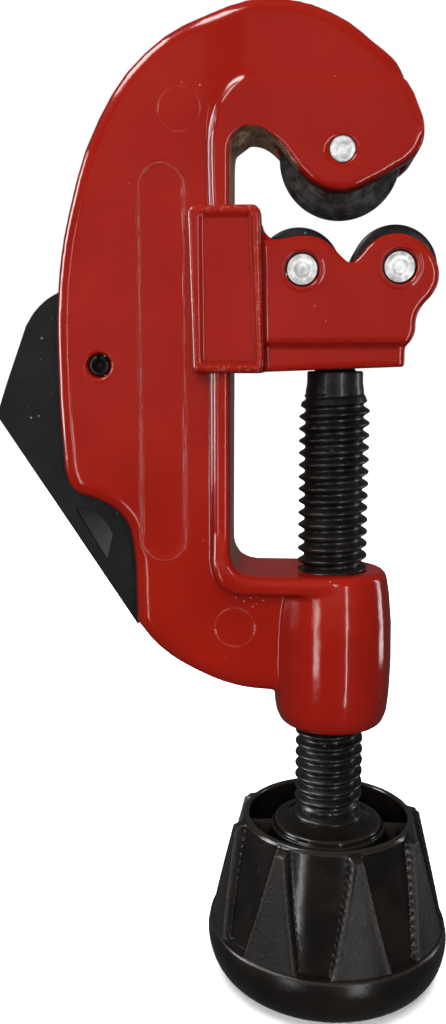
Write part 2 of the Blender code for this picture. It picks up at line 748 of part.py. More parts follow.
def build_knob(parts, cutters, plastic, bright, hard):
    knob = turned("knob", knob_profile(), (0, 0), "Z", parts, 40)
    for index in range(LANDS):
        boolean(knob, hide_cutter(land(index, cutters)), "UNION")
    for index, (x, y) in enumerate(((1, 0), (0, 1))):
        web = box(
            f"knob_web_{index}",
            (-14.3 * x - 0.65 * y, -14.3 * y - 0.65 * x, 13.5),
            (14.3 * x + 0.65 * y, 14.3 * y + 0.65 * x, 25.9),
            cutters,
        )
        boolean(knob, hide_cutter(web), "UNION")
    cavity = [
        (0.0, 10.9),
        (11.2, 10.9),
        (11.2, 2.2),
        (CAP_RADIUS + GAP, 2.2),
        (CAP_RADIUS + GAP, -2.0),
        (0.0, -2.0),
    ]
    boolean(knob, hide_cutter(turned("knob_cavity", cavity, (0, 0), "Z", cutters, 32)))
    bore = [
        (0.0, 40.0),
        (THREAD_RADIUS + 0.6, 40.0),
        (THREAD_RADIUS + 0.6, 26.9),
        (5.0 + GAP, 26.9),
        (5.0 + GAP, 21.6),
        (0.0, 21.6),
    ]
    boolean(knob, hide_cutter(turned("knob_bore", bore, (0, 0), "Z", cutters, 28)))
    square = 3.7 + GAP
    socket = box("knob_socket", (-square, -square, 14.0), (square, square, 23.0), cutters)
    boolean(knob, hide_cutter(socket))
    hole = cylinder("knob_hole", (0, 0), 1.9 + GAP, 5.0, 16.0, "Z", cutters, 20)
    boolean(knob, hide_cutter(hole))
    finish_piece(knob, plastic)
    washer = [(2.2, 10.6), (4.9, 10.6), (4.9, 9.9), (2.2, 9.9)]
    finish_piece(turned("knob_fixing_washer", washer, (0, 0), "Z", parts, 20, closed=True), bright)
    fixing = [
        (0.0, 21.0),
        (1.6, 21.0),
        (1.9, 20.7),
        (1.9, 9.6),
        (3.5, 9.6),
        (3.5, 8.3),
        (3.1, 7.95),
        (0.0, 7.95),
    ]
    finish_piece(turned("knob_fixing_screw", fixing, (0, 0), "Z", parts, 24), bright)
    spare = turned("spare_cutter_wheel", wheel_profile(), (0, 0), "Z", parts, 24, closed=True)
    spare.data.transform(Matrix.Translation((0, 0, 4.95 * MM)))
    finish_piece(spare, hard)
    cap_profile = [
        (0.0, CAP_THICK),
        (9.75, CAP_THICK),
        (9.75, 4.4),
        (10.9, 4.4),
        (10.9, CAP_THICK),
        (CAP_RADIUS, CAP_THICK),
        (CAP_RADIUS, 0.0),
        (0.0, 0.0),
    ]
    return finish_piece(turned("knob_end_cap", cap_profile, (0, 0), "Z", parts, 32), plastic)


# ---------------------------------------------------------------- reamer


def reamer_outline():
    """The blade, folded: its thumb corner at the left, its point at the bottom."""
    return [
        (-32.8, 61.5, "corner"),
        (-55.75, 96.5, "corner"),
        (-55.85, 97.7, "corner"),
        (-54.2, 102.4, "corner"),
        (-50.7, 111.7, "corner"),
        (-48.9, 114.3),
        (-45.6, 116.8),
        (-40.0, 118.4),
        (-33.5, 116.6),
        (-29.0, 112.0),
        (-27.4, 105.0),
        (-28.0, 94.0, "corner"),
    ]


def build_reamer(parts, cutters, black, bright):
    blade = plate("reamer_blade", reamer_outline(), REAMER_HALF, parts, detail=5, middle=REAMER_Y)
    hole = cylinder("blade_hole", (REAMER_X, REAMER_Z), REAMER_PIN_RADIUS + GAP, -20, 20, "Y", cutters, 20)
    boolean(blade, hide_cutter(hole))
    face = REAMER_Y - REAMER_HALF
    grind_outline = [
        (-43.2, 81.4, "corner"),
        (-38.0, 72.6, "corner"),
        (-36.9, 77.2, "corner"),
        (-38.6, 79.9),
        (-41.0, 81.4),
    ]
    grind = plate("blade_grind", grind_outline, 0.5, cutters, middle=face)
    boolean(blade, hide_cutter(grind))
    finish_piece(blade, black)
    set_origin(blade, REAMER_X, 0, REAMER_Z)
    outer, inner = REAMER_PIN_RADIUS, REAMER_PIN_RADIUS - REAMER_PIN_WALL
    end = WEB_HALF - 0.2
    tube = [(inner, end), (outer - 0.15, end), (outer, end - 0.2), (outer, -end), (inner, -end)]
    pin = turned("reamer_spring_pin", tube, (REAMER_X, REAMER_Z), "Y", parts, 24, closed=True)
    gap_box = box(
        "pin_gap",
        (REAMER_X - 0.3, -20, REAMER_Z + 0.2),
        (REAMER_X + 0.3, 20, REAMER_Z + 3.0),
        cutters,
    )
    boolean(pin, hide_cutter(gap_box))
    finish_piece(pin, black)
    # The profile's height runs along -Y, so the washer behind the blade has negative heights.
    low, high = -(REAMER_Y + REAMER_HALF + GAP), -(REAMER_SLOT_HALF - GAP)
    ring = [(REAMER_PIN_RADIUS + GAP, low), (4.2, low), (4.2, high), (REAMER_PIN_RADIUS + GAP, high)]
    washer = turned("reamer_spring_washer", ring, (REAMER_X, REAMER_Z), "Y", parts, 20, closed=True)
    return finish_piece(washer, bright)


def main():
    clear_scene()
    parts = new_collection("pipe_cutter")
    cutters = new_collection("cutters", hidden=True)
    red = make_material("red_enamel", RED, 0.28, 0.0)
    black = make_material("black_oxide_steel", (0.025, 0.025, 0.027), 0.42, 0.7)
    bright = make_material("bright_steel", (0.72, 0.73, 0.74), 0.3, 1.0)
    hard = make_material("hard_steel", (0.16, 0.165, 0.17), 0.35, 1.0)
    plastic = make_material("black_plastic", (0.018, 0.016, 0.015), 0.38, 0.0)
    build_frame(parts, cutters, red)
    build_cutter_wheel(parts, bright, hard)
    build_slide(parts, cutters, red, bright, black)
    build_feed_screw(parts, cutters, black, bright)
    build_knob(parts, cutters, plastic, bright, hard)
    build_reamer(parts, cutters, black, bright)


main()
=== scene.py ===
# %% [markdown]
# # A hand pipe cutter
#
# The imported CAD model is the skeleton: every piece sits, turns and slides with it. This lesson
# gives each piece its real surface. The frame and the slide are zinc castings under red
# enamel, the screw is oily black steel, and the knob is moulded plastic with flutes and
# grainy lands. Everything is in metres, and MM turns millimetres into metres.

import bmesh
import bpy
import numpy as np
from mathutils import Matrix, Vector


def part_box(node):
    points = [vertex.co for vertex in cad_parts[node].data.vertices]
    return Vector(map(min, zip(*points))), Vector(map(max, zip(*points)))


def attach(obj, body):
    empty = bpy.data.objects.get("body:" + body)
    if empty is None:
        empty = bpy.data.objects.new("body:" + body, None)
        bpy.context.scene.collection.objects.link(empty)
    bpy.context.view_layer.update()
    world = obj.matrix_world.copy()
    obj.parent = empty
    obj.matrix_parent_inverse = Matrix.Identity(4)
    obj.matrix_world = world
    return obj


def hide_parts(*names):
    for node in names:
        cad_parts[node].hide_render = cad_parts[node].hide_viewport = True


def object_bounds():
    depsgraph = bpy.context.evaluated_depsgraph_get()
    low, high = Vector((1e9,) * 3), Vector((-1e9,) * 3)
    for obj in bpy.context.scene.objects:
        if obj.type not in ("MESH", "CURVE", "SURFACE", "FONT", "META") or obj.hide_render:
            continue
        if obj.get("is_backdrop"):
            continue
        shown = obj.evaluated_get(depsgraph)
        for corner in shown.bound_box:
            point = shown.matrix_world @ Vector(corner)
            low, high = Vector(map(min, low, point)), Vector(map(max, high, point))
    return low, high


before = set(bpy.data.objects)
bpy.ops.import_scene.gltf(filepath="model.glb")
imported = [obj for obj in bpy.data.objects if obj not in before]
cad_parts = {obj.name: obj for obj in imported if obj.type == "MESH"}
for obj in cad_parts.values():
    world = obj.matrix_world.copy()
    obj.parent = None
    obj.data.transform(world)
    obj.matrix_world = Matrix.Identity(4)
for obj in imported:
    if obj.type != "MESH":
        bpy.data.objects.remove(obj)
cad_low, cad_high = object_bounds()
MM = 0.001
print("CAD box in mm:", [round((b - a) / MM, 1) for a, b in zip(cad_low, cad_high)])

# %% [markdown]
# ## Shader maths as plain expressions
#
# A pattern in a material is a small sum of noises, distances and masks. Built by hand that is
# dozens of boxes and wires. A thin class around a socket lets the same thing be written as
# arithmetic, and each operator adds one Math node behind the scenes.


# %% A value that changes over a surface
class Field:
    """A number that varies over the surface: one output socket of a material's nodes."""

    def __init__(self, paint, socket):
        self.paint, self.socket = paint, socket

    def math(self, operation, *others, first=None):
        values = ([first] if first is not None else []) + [self, *others]
        node = self.paint.node("ShaderNodeMath", {"operation": operation}, dict(enumerate(values)))
        return Field(self.paint, node.outputs[0])

    def __add__(self, other):
        return self.math("ADD", other)

    __radd__ = __add__

    def __mul__(self, other):
        return self.math("MULTIPLY", other)

    __rmul__ = __mul__

    def __sub__(self, other):
        return self.math("SUBTRACT", other)

    def __rsub__(self, other):
        return self.math("SUBTRACT", first=other)

    def __truediv__(self, other):
        return self.math("DIVIDE", other)

    def __abs__(self):
        return self.math("ABSOLUTE")

    def root(self):
        return self.math("SQRT")

    def highest(self, other):
        return self.math("MAXIMUM", other)

    def lowest(self, other):
        return self.math("MINIMUM", other)

    def rise(self, start, end):
        """0 before start, 1 past end, and a smooth S between them. start may be above end."""
        sockets = {"Value": self, "From Min": start, "From Max": end}
        node = self.paint.node("ShaderNodeMapRange", {"interpolation_type": "SMOOTHSTEP"}, sockets)
        return Field(self.paint, node.outputs["Result"])


# %% A material under construction
class Paint:
    """A material being built: its nodes, its shader and the patterns they share."""

    def __init__(self, name, slot):
        self.material = bpy.data.materials.new(name)
        self.material.use_nodes = True
        self.slot = slot
        self.tree = self.material.node_tree
        self.shader = self.tree.nodes["Principled BSDF"]
        place = self.node("ShaderNodeTexCoord").outputs["Object"]
        self.place = place
        split = self.node("ShaderNodeSeparateXYZ", {}, {"Vector": place})
        self.x, self.y, self.z = (Field(self, split.outputs[axis]) for axis in "XYZ")

    def node(self, kind, settings=None, sockets=None):
        node = self.tree.nodes.new(kind)
        for key, value in (settings or {}).items():
            setattr(node, key, value)
        for key, value in (sockets or {}).items():
            self.feed(node.inputs[key], value)
        return node

    def feed(self, socket, value):
        if isinstance(value, Field):
            value = value.socket
        if isinstance(value, bpy.types.NodeSocket):
            self.tree.links.new(value, socket)
        elif hasattr(socket.default_value, "__len__") and len(value) < len(socket.default_value):
            socket.default_value = (*value, 1.0)
        else:
            socket.default_value = value

    def noise(self, size_mm, detail=2.0, roughness=0.5):
        """Soft noise, about 0 to 1, whose lumps are size_mm across."""
        return self.noise_at(self.place, size_mm, detail, roughness)

    def noise_at(self, place, size_mm, detail, roughness=0.5):
        """The same noise read at any place, such as one worked out from the axle's distance."""
        scale = {"Scale": 1 / (size_mm * MM), "Detail": detail, "Roughness": roughness}
        node = self.node("ShaderNodeTexNoise", {}, {"Vector": place, **scale})
        return Field(self, node.outputs["Fac"])

    def cells(self, size_mm):
        """Distance to the nearest of scattered points size_mm apart, in cell widths."""
        sockets = {"Vector": self.place, "Scale": 1 / (size_mm * MM)}
        return Field(self, self.node("ShaderNodeTexVoronoi", {}, sockets).outputs["Distance"])

    def attribute(self, name):
        """A number stored at each vertex of the piece."""
        node = self.node("ShaderNodeAttribute", {"attribute_name": name})
        return Field(self, node.outputs["Fac"])

    def blend(self, amount, under, over):
        """Colour under, covered by colour over where amount is 1."""
        # A Mix node has sockets for each kind of value, all named alike: these are a colour's.
        settings = {"data_type": "RGBA", "clamp_factor": True}
        return self.node("ShaderNodeMix", settings, {0: amount, 6: under, 7: over}).outputs[2]

    def relief(self, height_mm):
        """Bumps the surface by a height in millimetres."""
        sockets = {"Height": height_mm, "Distance": MM, "Strength": 1.0}
        bump = self.node("ShaderNodeBump", {}, sockets)
        self.feed(self.shader.inputs["Normal"], bump.outputs[0])

    def finish(self, **sockets):
        """Sets the shader's sockets: Base_Color is its Base Color, and so on."""
        for key, value in sockets.items():
            self.feed(self.shader.inputs[key.replace("_", " ")], value)
        return self


# %% [markdown]
# ## Pieces as surfaces
#
# A turned piece is a profile carried round an axis, and a fluted knob or a thread is the
# same grid with a radius that also depends on the angle. One function stitches any grid of
# points into a closed mesh, so every piece only has to say where its points are.


# %% From a grid of points to a mesh
def add_piece(name, points, body, paint, replaces=(), sharp=32):
    """Stitches a grid of points, rows by columns, that closes round its columns.

    Rows that shrink to one point become poles, and doubles are merged.
    """
    rows, columns = points.shape[:2]
    index = np.arange(rows * columns).reshape(rows, columns)
    beside = np.roll(index, -1, axis=1)
    quads = np.stack([index[:-1], beside[:-1], beside[1:], index[1:]], axis=-1).reshape(-1, 4)
    mesh = bpy.data.meshes.new(name)
    mesh.from_pydata(points.reshape(-1, 3) * MM, [], quads)
    bm = bmesh.new()
    bm.from_mesh(mesh)
    bmesh.ops.remove_doubles(bm, verts=bm.verts, dist=1e-7)
    bmesh.ops.recalc_face_normals(bm, faces=bm.faces)
    bm.to_mesh(mesh)
    bm.free()
    return dress(bpy.data.objects.new(name, mesh), body, paint, replaces, sharp)


def dress(obj, body, paint, replaces=(), sharp=32):
    """Shades a piece smooth, gives it its finish and hands it to its body."""
    if obj.name not in bpy.context.scene.collection.objects:
        bpy.context.scene.collection.objects.link(obj)
    obj.data.shade_smooth()
    obj.data.set_sharp_from_angle(angle=np.radians(sharp))
    obj.data.materials.clear()
    obj.data.materials.append(paint.material)
    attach(obj, body)
    if replaces:
        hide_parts(*replaces)
    print(f"{obj.name}: {len(obj.data.polygons)} faces on {body}")
    return obj


# %% [markdown]
# A lathe leaves no sharp inner corner, so every profile is softened before it is carried
# round. A curve through the corner's two sides is enough at this size, and cheaper than a
# bevel on the finished piece. The box of each CAD node says how large its piece has to be.


# %% Rounded profiles carried round an axis
def soften(profile, radius, steps=4):
    """Cuts each inner corner of a line of points by a curve.

    The corner P gives way to (1-s)^2 A + 2s(1-s) P + s^2 B, where A and B lie on its two
    sides, radius away or at a side's middle if that is nearer.
    """
    p = np.asarray(profile, float)
    radius = np.broadcast_to(radius, len(p))[1:-1, None]
    corner, back, ahead = p[1:-1], p[:-2] - p[1:-1], p[2:] - p[1:-1]
    far_back = np.linalg.norm(back, axis=1, keepdims=True)
    far_ahead = np.linalg.norm(ahead, axis=1, keepdims=True)
    a = corner + back * np.minimum(radius / far_back, 0.5)
    b = corner + ahead * np.minimum(radius / far_ahead, 0.5)
    s = np.linspace(0, 1, steps + 1)[None, :, None]
    arcs = (1 - s) ** 2 * a[:, None] + 2 * s * (1 - s) * corner[:, None] + s**2 * b[:, None]
    return np.vstack([p[:1], arcs.reshape(-1, 2), p[-1:]])


def carried_round(profile, centre=(0, 0, 0), axis="Z", steps=96):
    """Points of a turned surface: a (radius, height) profile carried round an axis.

    With axis "Y" the height runs towards the viewer, along -Y.
    """
    radius, height = np.asarray(profile, float).T[:, :, None]
    angle = np.linspace(0, 2 * np.pi, steps, endpoint=False)[None, :]
    across, along = radius * np.cos(angle), radius * np.sin(angle)
    level = np.broadcast_to(height, across.shape)
    parts = (across, along, level) if axis == "Z" else (across, -level, along)
    return np.stack(parts, axis=-1) + np.asarray(centre, float)


def measure(node):
    """Lowest and highest corner of a CAD node's box, in millimetres."""
    low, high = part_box(node)
    return np.asarray(low) / MM, np.asarray(high) / MM


def middle_of(node):
    """Centre of a CAD node's box, in millimetres."""
    low, high = measure(node)
    return (low + high) / 2


# %% [markdown]
# ## Castings
#
# The frame and the slide are poured, so no edge is sharp and no inner corner is either. The
# CAD copy has both, as flat facets. Rebuilding the copy on a fine grid of cells and then
# relaxing it rounds every edge and fills every inner corner at once, as the mould does. The
# result's own curvature is then measured, because enamel runs thin on convex edges. The same
# measure lays a painted highlight along convex edges and painted shade into the hollows.


# %% Rebuild a CAD copy as a casting
def merged_copy(node, name):
    """A copy of a CAD node's mesh with its loose triangles joined."""
    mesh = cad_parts[node].data.copy()
    mesh.name = name
    bm = bmesh.new()
    bm.from_mesh(mesh)
    bmesh.ops.remove_doubles(bm, verts=bm.verts, dist=1e-6)
    bm.to_mesh(mesh)
    bm.free()
    obj = bpy.data.objects.new(name, mesh)
    bpy.context.scene.collection.objects.link(obj)
    return obj


def settle(obj):
    """Replaces an object's mesh by what its modifiers make of it."""
    graph = bpy.context.evaluated_depsgraph_get()
    mesh = bpy.data.meshes.new_from_object(obj.evaluated_get(graph))
    obj.modifiers.clear()
    obj.data = mesh


def cast(node, name, cell_mm, relax):
    """A copy of a CAD node rebuilt in cells of cell_mm and relaxed, with rounded edges."""
    obj = merged_copy(node, name)
    rebuild = obj.modifiers.new("rebuild", "REMESH")
    rebuild.mode = "VOXEL"
    rebuild.voxel_size = cell_mm * MM
    smooth = obj.modifiers.new("relax", "SMOOTH")
    smooth.factor = 0.5
    smooth.iterations = relax
    settle(obj)
    return obj


# %% How convex or hollow the skin is
def points_of(mesh):
    """The places of a mesh's vertices in metres, one row each."""
    place = np.empty(len(mesh.vertices) * 3)
    mesh.vertices.foreach_get("co", place)
    return place.reshape(-1, 3)


def store(mesh, name, values):
    """Puts one number on each vertex."""
    layer = mesh.attributes.new(name, "FLOAT", "POINT")
    layer.data.foreach_set("value", np.asarray(values, np.float32).ravel())


def measure_edges(obj):
    """Stores how convex each vertex is as "edge", and how hollow as "hollow", from 0 to 1.

    Along each mesh edge the turn of the normal, (n2 - n1) . (p2 - p1) / |p2 - p1|^2, is the
    curvature. Each vertex takes the mean of its edges, scaled so that a 1 mm radius is 1.
    Returns the vertices' places in millimetres and their normals.
    """
    mesh = obj.data
    count = len(mesh.vertices)
    place, normal = points_of(mesh), np.empty(count * 3)
    mesh.vertices.foreach_get("normal", normal)
    normal = normal.reshape(-1, 3)
    ends = np.empty(len(mesh.edges) * 2, int)
    mesh.edges.foreach_get("vertices", ends)
    first, second = ends.reshape(-1, 2).T
    along = place[second] - place[first]
    turn = ((normal[second] - normal[first]) * along).sum(1) / (along**2).sum(1).clip(1e-12)
    total = np.bincount(first, turn, count) + np.bincount(second, turn, count)
    bend = total / np.bincount(ends, minlength=count).clip(1) * MM
    store(mesh, "edge", bend.clip(0, 1))
    store(mesh, "hollow", (-bend).clip(0, 1))
    return place / MM, normal


# %% [markdown]
# The marks and the turned pieces are placed from the CAD model's own pins and axles, so
# that each mark stays round its hole and each piece on its axle.

# %% Where things are
SIDES = ("left", "right")
wheel_at, wheel_low = middle_of("cutter_wheel"), measure("cutter_wheel")[0]
reamer_pin_at = middle_of("reamer_spring_pin")
roller_at = {side: middle_of(f"roller_pin_{side}") for side in SIDES}
slide_low = measure("slide")[0]
print("wheel centre:", wheel_at.round(2), "underside of the slide:", slide_low[2].round(2))

# %% [markdown]
# ## Red enamel over zinc
#
# The paint is glossy, a little uneven like an orange's skin, and carries the marks of the
# casting: a thin raised line where the die's insert made the long panel, with a painted
# highlight along it, two rings from the ejector pins, pinholes and dust in the paint, and lips
# where it has run round the holes.
# Where the paint never reached, inside the hook's throat, the tan zinc shows.


# %% Distances that draw the marks
def capsule(paint, x, low, high, radius):
    """Distance in mm from the outline of an upright slot with round ends."""
    across = paint.x / MM - x
    beyond = abs(paint.z / MM - (low + high) / 2) - ((high - low) / 2 - radius)
    beyond = beyond.highest(0.0)
    return abs((across * across + beyond * beyond).root() - radius)


def ring(paint, x, z, radius):
    """Distance in mm from a circle on the face."""
    across, up = paint.x / MM - x, paint.z / MM - z
    return abs((across * across + up * up).root() - radius)


# %% The enamel
DEEP_RED, BRIGHT_RED = (0.290, 0.0085, 0.0030), (0.335, 0.0105, 0.0040)
# The dark corner red is painted shade for hollows. The pale pink is thin paint over dust and wear,
# and also a painted highlight on convex edges and along the panel line.
SHADED_CORNER_RED, THIN_PAINT_AND_HIGHLIGHT_RED = (0.13, 0.005, 0.004), (0.50, 0.27, 0.22)
DARK_ZINC, PALE_ZINC = (0.19, 0.12, 0.065), (0.60, 0.46, 0.30)


def enamel(name, marks):
    """Red enamel; marks(paint) gives extra (relief in mm, pale line from 0 to 1)."""
    paint = Paint(name, "red_enamel")
    edge = paint.attribute("edge")
    hollow = paint.attribute("hollow")
    lumps = paint.noise(2.6, 1.0)
    skin = paint.noise(0.9, 2.0)
    patches = paint.noise(14.0, 3.0)
    dust = paint.cells(3.4).rise(0.05, 0.025) * paint.noise(5.0, 0.0).rise(0.52, 0.6)
    relief, pale = marks(paint)
    # Convex edges turn pale: partly paint worn thin, partly a painted highlight.
    edge_wear_and_highlight = edge.rise(0.3, 0.9) * paint.noise(0.8, 3.0, 0.7).rise(0.58, 0.7)
    red = paint.blend(patches.rise(0.3, 0.75), DEEP_RED, BRIGHT_RED)
    # Painted shade: hollow corners are darkened.
    red = paint.blend(hollow.rise(0.05, 0.6) * 0.55, red, SHADED_CORNER_RED)
    # The pale pink covers dust and wear, and is also a painted highlight on edges and the panel
    # line.
    thin_paint_and_highlight = (edge_wear_and_highlight * 0.2).highest(pale * 0.5).highest(dust * 0.6)
    red = paint.blend(thin_paint_and_highlight, red, THIN_PAINT_AND_HIGHLIGHT_RED)
    bare = paint.attribute("bare") * paint.noise(1.1, 3.0, 0.65).rise(0.3, 0.44)
    zinc = paint.blend(paint.noise(1.4, 4.0, 0.7).rise(0.35, 0.65), DARK_ZINC, PALE_ZINC)
    paint.relief(lumps * 0.034 + skin * 0.0075 + dust * 0.05 + relief - bare * 0.06)
    return paint.finish(
        Base_Color=paint.blend(bare, red, zinc),
        Roughness=0.10 + patches * 0.07 + bare * 0.4 + edge_wear_and_highlight * 0.15,
        Specular_IOR_Level=0.38,
    )


# %% The frame's marks
PANEL_X, PANEL_LOW, PANEL_HIGH, PANEL_RADIUS = -27.8, 73.4, 136.4, 3.4
EJECTOR_RADIUS = 3.3
EJECTORS = ((-24.9, 144.3), (-16.1, 62.2))
PIVOT_LIP_RADIUS = 2.35
FLAKES_X, FLAKES_Z = -13.4, 66.6


def frame_marks(paint):
    """The panel's outline, the ejectors' rings, the lip round the pivot, and some flakes."""
    off_middle = abs(paint.y / MM)
    on_face = off_middle.rise(4.3, 4.8) * off_middle.rise(5.6, 5.1)
    line = capsule(paint, PANEL_X, PANEL_LOW, PANEL_HIGH, PANEL_RADIUS + 0.2)
    broken = paint.noise(2.0, 3.0).rise(0.32, 0.62)
    upper, lower = (ring(paint, x, z, EJECTOR_RADIUS) for x, z in EJECTORS)
    pins = upper.lowest(lower)
    pivot = ring(paint, reamer_pin_at[0], reamer_pin_at[2], PIVOT_LIP_RADIUS)
    ridge = line.rise(0.2, 0.0)
    scratch = abs(line - 0.35).rise(0.12, 0.0) * paint.noise(3.0, 2.0).rise(0.35, 0.6)
    circle = pins.rise(0.22, 0.0) * on_face
    lip = pivot.rise(0.7, 0.0) * on_face
    row = abs(paint.z / MM - (FLAKES_Z + 0.3)).rise(1.0, 0.4)
    flakes = ring(paint, FLAKES_X, FLAKES_Z, 1.2).rise(4.6, 1.0) * row
    flakes = flakes * paint.cells(1.1).rise(0.2, 0.1) * on_face
    relief = ridge * 0.07 - scratch * 0.05 + circle * broken * 0.05 + lip * 0.12 + flakes * 0.08
    # The panel line is painted pale as a highlight along its ridge; the rings and flakes are drawn
    # pale as well.
    pale = ridge * broken * 0.55 + circle * broken * 0.5 + flakes
    return relief, pale


frame_paint = enamel("red enamel on the frame", frame_marks)
print("panel line and", len(EJECTORS), "ejector rings drawn")

# %% [markdown]
# The web isn't flat all the way up: it swells towards the hook until it meets the rim's
# face, and its step fades out in a curved sweep round the throat's corner. The CAD model has
# a flat web and a plain step. Moving the vertices by smooth formulas gives the swelling and
# keeps the casting one skin, where a second piece laid over it would show a seam.


# %% A smooth step, and the numbers of the swelling
def smooth_step(value, start, end):
    """0 before start, 1 past end, 3t^2 - 2t^3 between."""
    t = np.clip((value - start) / (end - start), 0, 1)
    return t * t * (3 - 2 * t)


WEB_FROM, WEB_TO = 5.0, 7.4
PANEL_EASE = 0.3
NOSE_FILL, NOSE_Z, NOSE_SPREAD = 0.9, 150.0, 2.6
PIN_CLOSING, PIN_HOLE, PIN_SPREAD = 0.5, 2.4, 0.7
print("the web swells from", 2 * WEB_FROM, "to", 2 * WEB_TO, "mm thick")


# %% The hook's swelling
def shape_web(obj):
    """Thickens the web towards the hook and makes the long panel shallower.

    A face point's distance from the middle plane grows from the web's to WEB_TO, by smooth
    steps that run to the right and upwards. Points nearer the middle plane stay. Inside the
    panel's outline the depth below the face shrinks to PANEL_EASE of what it was. The nose is
    filled out by a bell curve in height, and paint narrows the wheel pin's hole by another.
    """
    mesh = obj.data
    place = points_of(mesh)
    x, y, z = place.T / MM
    deep = np.abs(y)
    past_middle = np.abs(z - (PANEL_LOW + PANEL_HIGH) / 2)
    beyond = np.maximum(past_middle - (PANEL_HIGH - PANEL_LOW) / 2 + PANEL_RADIUS, 0)
    panel = np.hypot(x - PANEL_X, beyond) < PANEL_RADIUS + 0.9
    eased = WEB_FROM - (WEB_FROM - deep) * PANEL_EASE
    deep = np.where(panel & (deep > 4.2) & (deep < WEB_FROM), eased, deep)
    share = smooth_step(x, -24.0, -11.0) * smooth_step(z, 138.5, 146.0)
    share = share * smooth_step(deep, 3.4, 4.4)
    growth = 1 + share * (WEB_TO / WEB_FROM - 1)
    grown = np.minimum(deep * growth, np.maximum(WEB_TO, deep))
    place[:, 1] = np.sign(y) * np.maximum(grown, deep) * MM
    nose = NOSE_FILL * np.exp(-(((z - NOSE_Z) / NOSE_SPREAD) ** 2)) * smooth_step(x, 1.0, 6.0)
    place[:, 0] += nose * MM
    across, up = x - wheel_at[0], z - wheel_at[2]
    apart = np.hypot(across, up)
    near_hole = np.exp(-(((apart - PIN_HOLE) / PIN_SPREAD) ** 2))
    closing = PIN_CLOSING * near_hole * smooth_step(np.abs(y), 5.8, 6.6) / apart.clip(1)
    place[:, 0] -= across * closing * MM
    place[:, 2] -= up * closing * MM
    mesh.vertices.foreach_set("co", place.ravel())
    mesh.update()


# %% The sweep where the rail turns into the hook
SWEEP_X, SWEEP_Z, SWEEP_RADIUS = -11.5, 140.5, 8.3


def soften_sweep(obj):
    """Relaxes the step between web and rim round the throat's corner, by many small steps.

    A point's share falls with its distance from a circle about the corner, 1 up to 1.2 mm
    off it and 0 from 2.6 mm, and only the upper left quarter of the circle counts.
    """
    x, y, z = points_of(obj.data).T / MM
    off = np.abs(np.hypot(x - SWEEP_X, z - SWEEP_Z) - SWEEP_RADIUS)
    quarter = smooth_step(x, -7.0, -11.0) * smooth_step(z, 139.0, 142.5)
    share = smooth_step(off, 2.6, 1.2) * quarter * (np.abs(y) > 4.6)
    group = obj.vertex_groups.new(name="sweep")
    # A vertex group takes one weight for many points, so the share goes in as four levels.
    for level in range(1, 5):
        chosen = np.flatnonzero((share > level / 5) & (share <= (level + 1) / 5))
        group.add(chosen.tolist(), level / 4, "REPLACE")
    relax = obj.modifiers.new("relax the sweep", "SMOOTH")
    relax.factor, relax.iterations, relax.vertex_group = 0.5, 30, group.name
    settle(obj)


# %% The frame's casting
FRAME_CELL = 0.425
ALL_SMOOTH = 180


def is_throat(place, facing):
    """True on the walls of the throat that face inwards, where no paint reached."""
    x, y, z = place.T
    inward = (np.abs(facing[:, 1]) < 0.55) & (np.abs(y) < 7.0)
    return inward & (z > 126) & (z < 143.5) & (x > -17.6) & (x < -6.5)


casting = cast("frame", "frame_casting", FRAME_CELL, relax=7)
shape_web(casting)
soften_sweep(casting)
store(casting.data, "bare", is_throat(*measure_edges(casting)))
dress(casting, "frame", frame_paint, ["frame"], ALL_SMOOTH)

# %% [markdown]
# The slide has the same enamel. Its paint has run into a lip round each pin, and has worn
# through on the edges of the flat box that guides it along the rail, which rubs in the hand.


# %% The slide and its marks
SLIDE_CELL = 0.34
LIP_RADIUS = 3.0


def slide_marks(paint):
    """Lips round the two pins, and paint rubbed through on the edges of the outermost faces."""
    deep = paint.y / MM
    face = (slide_low[1] - deep).rise(-0.9, -0.2) + (slide_low[1] + deep).rise(-0.9, -0.2)
    left, right = (ring(paint, *roller_at[side][[0, 2]], LIP_RADIUS) for side in SIDES)
    relief = left.lowest(right).rise(0.6, 0.0) * 0.12
    rough = paint.noise(0.7, 3.0, 0.7).rise(0.5, 0.66)
    return relief, face * paint.attribute("edge").rise(0.35, 0.6) * rough * 0.5


slide_paint = enamel("red enamel on the slide", slide_marks)
slider = cast("slide", "slide_casting", SLIDE_CELL, relax=6)
measure_edges(slider)
store(slider.data, "bare", np.zeros(len(slider.data.vertices)))
dress(slider, "slide", slide_paint, ["slide"], ALL_SMOOTH)

# %% [markdown]
# ## Black steel
#
# Screw, rollers and blade are blackened by a hot salt bath and kept under a film of oil. The
# film's small wet highlights are painted in as pale glints scattered over the colour, and
# rubbing wears the black to a dark grey. One function makes the whole family, with the wear
# and the gloss as its choices.


# %% Blackened steel
GLINT, RUBBED_GREY = (0.35, 0.33, 0.3), (0.085, 0.088, 0.092)


